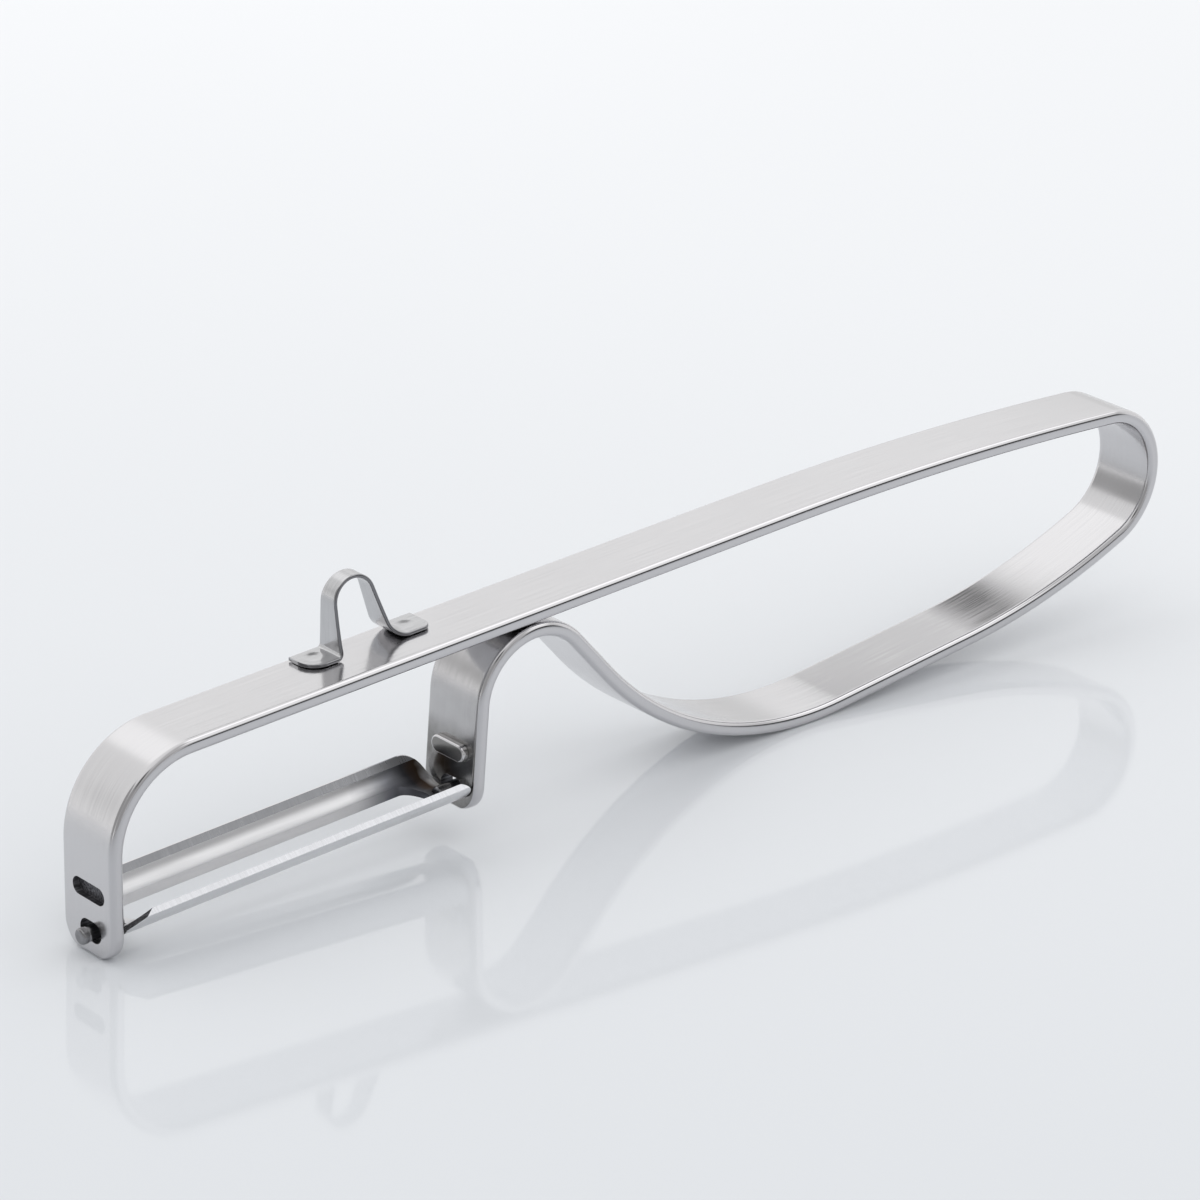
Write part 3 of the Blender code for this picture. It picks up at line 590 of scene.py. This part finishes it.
def round_corner(end, inward, top, radius):
    """Outline of what a round corner takes off a wall: a quarter circle about the point one
    radius in from the wall's end and one radius under its top, and a square outside it."""
    a = np.linspace(np.pi, np.pi / 2, 16)
    x = np.concatenate([[-PAST_EDGE, -PAST_EDGE], radius + radius * np.cos(a), [radius]])
    z = np.concatenate([[PAST_EDGE, -radius], -radius + radius * np.sin(a), [PAST_EDGE]])
    return np.stack([end + inward * x, top + PIVOT_Z + z], axis=-1)


section, facet, bevel = trough_section()
stations = BLADE_START + BLADE_LENGTH * np.linspace(0.0, 1.0, 61)
points = np.stack(np.broadcast_arrays(stations[:, None], section[:, 0], section[:, 1] + PIVOT_Z),
                  axis=-1)
blade = solid("trough_blade", points, tube_faces(*points.shape[:2]))


def polished_steel(name, colour, worn, line_mm, rough):
    """Polished stainless steel with fine lines: line_mm is their size along, across and up
    the peeler, whose lean is taken off.  Faint clouds 7 mm wide lie over them."""
    material = bpy.data.materials.new(name)
    material.use_nodes = True
    tree = material.node_tree
    shader = tree.nodes["Principled BSDF"]
    place = add(tree, "ShaderNodeTexCoord").outputs["Object"]
    lines_at = add(tree, "ShaderNodeMapping",
                   {"Vector": place, "Rotation": (0.0, TABLE_TILT, 0.0),
                    "Scale": tuple(1000.0 / value for value in line_mm)})
    lines = add(tree, "ShaderNodeTexNoise",
                {"Vector": lines_at.outputs[0], "Scale": 1.0, "Detail": 3.0, "Roughness": 0.6})
    clouds = add(tree, "ShaderNodeTexNoise", {"Vector": place, "Scale": 140.0, "Detail": 2.0})
    drawn = add(tree, "ShaderNodeMapRange",
                {"Value": lines.outputs["Fac"], "From Min": 0.3, "From Max": 0.7,
                 "To Min": rough - 0.03, "To Max": rough + 0.04})
    clouded = add(tree, "ShaderNodeMath",
                  {0: clouds.outputs["Fac"], 1: 0.06, 2: drawn.outputs[0]},
                  operation="MULTIPLY_ADD")
    tree.links.new(clouded.outputs[0], shader.inputs["Roughness"])
    face = add(tree, "ShaderNodeMix",
               {"Factor": lines.outputs["Fac"], MIX_A: linear(colour), MIX_B: linear(worn)},
               data_type="RGBA")
    tree.links.new(face.outputs[MIXED], shader.inputs["Base Color"])
    bump = add(tree, "ShaderNodeBump",
               {"Height": lines.outputs["Fac"], "Distance": 0.000004, "Strength": 0.08})
    tree.links.new(bump.outputs[0], shader.inputs["Normal"])
    shader.inputs["Metallic"].default_value = 1.0
    return material


# Hardened sheet, rolled and polished: the trough mirrors the room softly, with rolling
# lines which lie about 0.1 mm apart and are drawn 0.3 mm apart.
blade_steel = polished_steel("stainless_steel_hardened_polished_blade", "E2E2E3", "D8D8DA",
                             (20.0, 0.3, 0.3), 0.3)
# The bevel and the rounded corners, wheel ground: a clear, narrow shine, with the wheel's
# marks across the blade every 0.25 mm.
ground_steel = polished_steel("stainless_steel_wheel_ground_edge", "BEBFC2", "B1B2B5",
                              (0.25, 6.0, 6.0), 0.19)
# The far wall's facet, left from a coarse wheel: a darker, duller grey band.
facet_steel = polished_steel("stainless_steel_coarse_ground_facet", "97989B", "86878A",
                             (0.25, 6.0, 6.0), 0.26)

# The blade's rear end is painted darker, a painted shade for the shadow and the dark
# reflections there, and the steel is brown at the rear pin: grey-blue further in, then
# nearly black and brown at the pin, and bright again on the last edge.  Each colour stands
# at its x in metres on the table, give or take 2 mm, and the near wall stays bare.
END_SHADE_AND_TINTS = ((-0.0465, "FFFFFF"), (-0.0405, "A2A4AA"), (-0.037, "55565A"),
         (-0.0352, "5E4C3E"), (-0.034, "FFFFFF"))
SHADE_AND_TINT_WANDER = 0.004
shade_and_tint_from, shade_and_tint_to = END_SHADE_AND_TINTS[0][0], END_SHADE_AND_TINTS[-1][0]
tree = blade_steel.node_tree
shader = tree.nodes["Principled BSDF"]
place = add(tree, "ShaderNodeTexCoord").outputs["Object"]
apart = add(tree, "ShaderNodeSeparateXYZ", {"Vector": place})
wander = add(tree, "ShaderNodeTexNoise", {"Vector": place, "Scale": 260.0, "Detail": 2.0})
wandered = add(tree, "ShaderNodeMath",
               {0: wander.outputs["Fac"], 1: SHADE_AND_TINT_WANDER, 2: apart.outputs["X"]},
               operation="MULTIPLY_ADD")
reach = add(tree, "ShaderNodeMapRange",
            {"Value": wandered.outputs[0], "From Min": shade_and_tint_from + SHADE_AND_TINT_WANDER / 2,
             "From Max": shade_and_tint_to + SHADE_AND_TINT_WANDER / 2})
inside = add(tree, "ShaderNodeMapRange",
             {"Value": apart.outputs["Y"], "From Min": -0.0032, "From Max": -0.0012},
             interpolation_type="SMOOTHSTEP")
reached = add(tree, "ShaderNodeMath", {0: reach.outputs[0], 1: inside.outputs[0]},
              operation="MULTIPLY")
shade_and_tint_ramp = add(tree, "ShaderNodeValToRGB", {"Fac": reached.outputs[0]})
marks = shade_and_tint_ramp.color_ramp.elements
for x, _ in END_SHADE_AND_TINTS[1:-1]:
    marks.new((x - shade_and_tint_from) / (shade_and_tint_to - shade_and_tint_from))
for mark, (_, colour) in zip(marks, END_SHADE_AND_TINTS):
    mark.color = linear(colour)
bare = shader.inputs["Base Color"].links[0].from_socket
# Multiply the painted shade and the brown into the blade's colour.
shaded_and_tinted = add(tree, "ShaderNodeMix", {"Factor": 1.0, MIX_A: bare, MIX_B: shade_and_tint_ramp.outputs[0]},
             data_type="RGBA", blend_type="MULTIPLY")
tree.links.new(shaded_and_tinted.outputs[MIXED], shader.inputs["Base Color"])

# The cut ends and the seats are left as sheared; their colour is painted dark grey, a
# painted shade for the shadow at the blade's ends, and nearly black in their tears.
sheared_steel_shaded = torn_steel("stainless_steel_blade_sheared_ends_painted_shade", "58585B", "1C1C1F", 0.25, 0.4)

# The skins in the order of the material slots, and one for each side of the section.
POLISHED, GROUND, SHEARED_SHADED, FACET = range(4)
skins = (blade_steel, ground_steel, sheared_steel_shaded, facet_steel)
for skin in skins:
    blade.data.materials.append(skin)
round_section = np.full(len(section), POLISHED, np.int32)
round_section[facet] = FACET
round_section[bevel] = GROUND
both_ends = np.full(2, POLISHED, np.int32)
side_skins = np.concatenate([np.tile(round_section, len(stations) - 1), both_ends])
blade.data.polygons.foreach_set("material_index", side_skins)

slot_profile = ((0.0, -SLOT_REACH), (0.0, 0.0), (SLOT_FLARE, SLOT_REACH))
slot_place = (BLADE_START + BLADE_LENGTH / 2, SLOT_MIDDLE_Y, PIVOT_Z - SLOT_BELOW)
slot = pill_surface(SLOT_LENGTH, SLOT_WIDTH, slot_profile, around=40) + np.array(slot_place)
near_top = NEAR_TOP + PIVOT_Z
chamfer = [(ends[0] - PAST_EDGE, near_top + PAST_EDGE),
           (ends[0] - PAST_EDGE, near_top - CHAMFER_DROP),
           (ends[0] + CHAMFER_RUN, near_top + PAST_EDGE)]
seats = []
for end, inward in ((ends[0], 1), (ends[1], -1)):
    outside, inmost = end - PAST_EDGE * inward, end + SEAT_LENGTH * inward
    low, high = PIVOT_Z - SEAT_BELOW, PIVOT_Z + SEAT_ABOVE
    seats.append(prism([(outside, low), (outside, high), (inmost, high), (inmost, low)],
                       PIVOT_Y - SEAT_HALF_WIDTH, PIVOT_Y + SEAT_HALF_WIDTH))
near_wall = (-PAST_WALL, -TROUGH_MIDDLE)
far_wall = (TROUGH_MIDDLE, PAST_WALL)
cuts = (
    ("slot", slot, POLISHED),
    ("near_front", prism(chamfer, *near_wall), SHEARED_SHADED),
    ("near_rear", prism(round_corner(ends[1], -1, NEAR_TOP, SMALL_CORNER), *near_wall), GROUND),
    ("far_front", prism(round_corner(ends[0], 1, FAR_TOP, SMALL_CORNER), *far_wall), GROUND),
    ("far_rear", prism(round_corner(ends[1], -1, FAR_TOP, LARGE_CORNER), *far_wall), GROUND),
    ("front_seat", seats[0], SHEARED_SHADED),
    ("rear_seat", seats[1], SHEARED_SHADED),
)
cutters = []
for name, rings, cut_skin in cuts:
    cutter = solid(f"{name}_cutter", rings, tube_faces(*rings.shape[:2]))
    for skin in skins:
        cutter.data.materials.append(skin)
    cut_skins = np.full(len(cutter.data.polygons), cut_skin, np.int32)
    cutter.data.polygons.foreach_set("material_index", cut_skins)
    cutters.append(cutter)
cut_out(blade, cutters)
finish_edges(blade, BLADE_BROKEN_EDGE, 35.0)
blade.data.set_sharp_from_angle(angle=np.radians(20.0))
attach(blade, "blade_carrier")
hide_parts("blade")

# The pins: turned stainless rod, seated in the blade's ends and free in the legs' holes.
# The outer end is swelled over a short neck, with a small dimple in its face.
PIN_RADIUS = 0.975
PIN_HEAD_RADIUS = 1.05
PIN_BRIM = 0.3
PIN_TIP = 4.1
PIN_SEAT = 2.0


def pin_rings(end, outward):
    """A profile turned about the pivot axis: at each height out of the blade's end stands a
    circle of the profile's radius.  From the tip inwards: a small dimple in the face, the
    brim, which is a quarter circle, the swelled end, a groove under it, and the shank."""
    face = [(0.12, PIN_TIP - 0.06), (0.45, PIN_TIP), (PIN_HEAD_RADIUS - PIN_BRIM, PIN_TIP)]
    brim = [(PIN_HEAD_RADIUS - PIN_BRIM + PIN_BRIM * np.cos(a),
             PIN_TIP - PIN_BRIM + PIN_BRIM * np.sin(a))
            for a in np.radians(np.linspace(90.0, 0.0, 8))]
    groove = [(PIN_HEAD_RADIUS, PIN_TIP - 0.82), (PIN_RADIUS, PIN_TIP - 0.9),
              (PIN_RADIUS - 0.08, PIN_TIP - 1.0), (PIN_RADIUS, PIN_TIP - 1.1)]
    shank = [(PIN_RADIUS, -PIN_SEAT + 0.1), (PIN_RADIUS - 0.1, -PIN_SEAT)]
    radius, height = np.array(face + brim + groove + shank).T[:, :, None]
    a = np.linspace(0.0, 2 * np.pi, 48, endpoint=False)
    return np.stack([end + outward * height + 0 * a, PIVOT_Y + radius * np.cos(a),
                     PIVOT_Z + radius * np.sin(a)], axis=-1)


# Turned stainless rod, left from the lathe: a darker grey than the polished blade, with
# the tool's rings 0.15 mm apart.
pin_steel = polished_steel("stainless_steel_turned_pin", "9C9C9E", "7E7E80", (0.15, 3.0, 3.0), 0.2)
for name, node, end, outward in (("front_pin", "pivot_pin_front", ends[0], -1),
                                 ("rear_pin", "pivot_pin_rear", ends[1], 1)):
    rings = pin_rings(end, outward)
    pin = solid(name, rings, tube_faces(*rings.shape[:2]))
    pin.data.shade_smooth()
    pin.data.set_sharp_from_angle(angle=np.radians(35.0))
    pin.data.materials.append(pin_steel)
    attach(pin, "blade_carrier")
    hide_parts(node)

# The table: a sheet of white acrylic, cast and polished, that mirrors the peeler faintly.
# It is wide enough, 5 m, to fill the view and the reflections in the steel.
HALF_TABLE = 2.5
corners = [(-HALF_TABLE, -HALF_TABLE, 0.0), (HALF_TABLE, -HALF_TABLE, 0.0),
           (HALF_TABLE, HALF_TABLE, 0.0), (-HALF_TABLE, HALF_TABLE, 0.0)]
table_mesh = bpy.data.meshes.new("table")
table_mesh.from_pydata(corners, [], [(0, 1, 2, 3)])
table = bpy.data.objects.new("table", table_mesh)
bpy.context.scene.collection.objects.link(table)
# Cool white acrylic under a high polish, clean white behind the peeler.  Towards the
# camera its colour is painted a little greyer over 0.75 m, a painted shade for the studio's
# light falling off.
AWAY_FROM_CAMERA = (0.66, 0.75, 0.0)
acrylic = bpy.data.materials.new("acrylic_sheet_white_polished")
acrylic.use_nodes = True
tree = acrylic.node_tree
shader = tree.nodes["Principled BSDF"]
place = add(tree, "ShaderNodeTexCoord").outputs["Object"]
away = add(tree, "ShaderNodeVectorMath", {0: place, 1: AWAY_FROM_CAMERA},
           operation="DOT_PRODUCT")
fade = add(tree, "ShaderNodeMapRange",
           {"Value": away.outputs["Value"], "From Min": -0.35, "From Max": 0.4})
tone = add(tree, "ShaderNodeMix",
           {"Factor": fade.outputs[0], MIX_A: linear("D3D7DC"), MIX_B: linear("F7F9FC")},
           data_type="RGBA")
tree.links.new(tone.outputs[MIXED], shader.inputs["Base Color"])
shader.inputs["Roughness"].default_value = 0.06
shader.inputs["IOR"].default_value = 1.49
table_mesh.materials.append(acrylic)

# The studio: white walls and ceiling, with lit panels and grey screens that give the steel
# its bands of tone.  Only glossy rays meet them: they show where something mirrors and
# light nothing.
ROOM_LIGHT = 1.0
WALL_BRIGHTNESS = 1.08
# Azimuth from +Y towards +X, elevation, radius and softness in degrees, then brightness.
SCREENS = (
    (-35.0, 30.0, 30.0, 28.0, 0.94),
    (50.0, 6.0, 10.0, 5.0, 0.82),
    (-74.0, 22.0, 29.0, 2.0, 0.4),
    (12.0, 50.0, 16.0, 4.0, 1.3),
    (38.0, 37.5, 3.6, 1.6, 0.0),
    (-140.0, 18.0, 34.0, 12.0, 0.45),
    (150.0, 34.0, 32.0, 10.0, 0.7),
    (106.0, 52.0, 15.0, 5.0, 1.8),
    (136.0, 34.0, 14.0, 5.0, 1.35),
    (140.0, 3.0, 12.0, 3.0, 0.05),
    (-152.0, 40.0, 9.0, 4.0, 0.06),
    (172.0, 8.0, 16.0, 8.0, 0.5),
)
world = bpy.data.worlds.new("white_studio")
bpy.context.scene.world = world
world.use_nodes = True
tree = world.node_tree
background = tree.nodes["Background"]
direction = add(tree, "ShaderNodeTexCoord").outputs["Generated"]
brightness = WALL_BRIGHTNESS
for azimuth, elevation, radius, softness, screen_brightness in SCREENS:
    a, e = np.radians((azimuth, elevation))
    centre = (np.cos(e) * np.sin(a), np.cos(e) * np.cos(a), np.sin(e))
    across = add(tree, "ShaderNodeVectorMath", {0: direction, 1: centre},
                 operation="DOT_PRODUCT")
    angle = add(tree, "ShaderNodeMath", {0: across.outputs["Value"]}, operation="ARCCOSINE")
    share = add(tree, "ShaderNodeMapRange",
                {"Value": angle.outputs[0], "From Min": np.radians(radius - softness),
                 "From Max": np.radians(radius + softness)}, interpolation_type="SMOOTHSTEP")
    brightness = add(tree, "ShaderNodeMix",
                     {"Factor": share.outputs[0], "A": screen_brightness,
                      "B": brightness}).outputs[0]
ray = add(tree, "ShaderNodeLightPath")
seen = add(tree, "ShaderNodeMix",
           {"Factor": ray.outputs["Is Glossy Ray"], "A": ROOM_LIGHT, "B": brightness})
tree.links.new(seen.outputs[0], background.inputs["Strength"])
background.inputs["Color"].default_value = linear("FFFFFF")

# The camera: a 148 mm lens, 0.65 m from the peeler and a little above it, off its front
# leg.  Place and turn follow from the outline of the strip and of its mirror image.
camera_data = bpy.data.cameras.new("camera")
camera_data.lens = 148.385
camera_data.sensor_width = 36.0
camera_data.clip_start = 0.01
camera_data.clip_end = 20.0
camera = bpy.data.objects.new("camera", camera_data)
bpy.context.scene.collection.objects.link(camera)
camera.location = (-0.398628, -0.429268, 0.271789)
camera.rotation_euler = np.radians((66.93682, -1.77236, -41.48255))
bpy.context.scene.camera = camera
bpy.context.scene.view_settings.view_transform = "Standard"
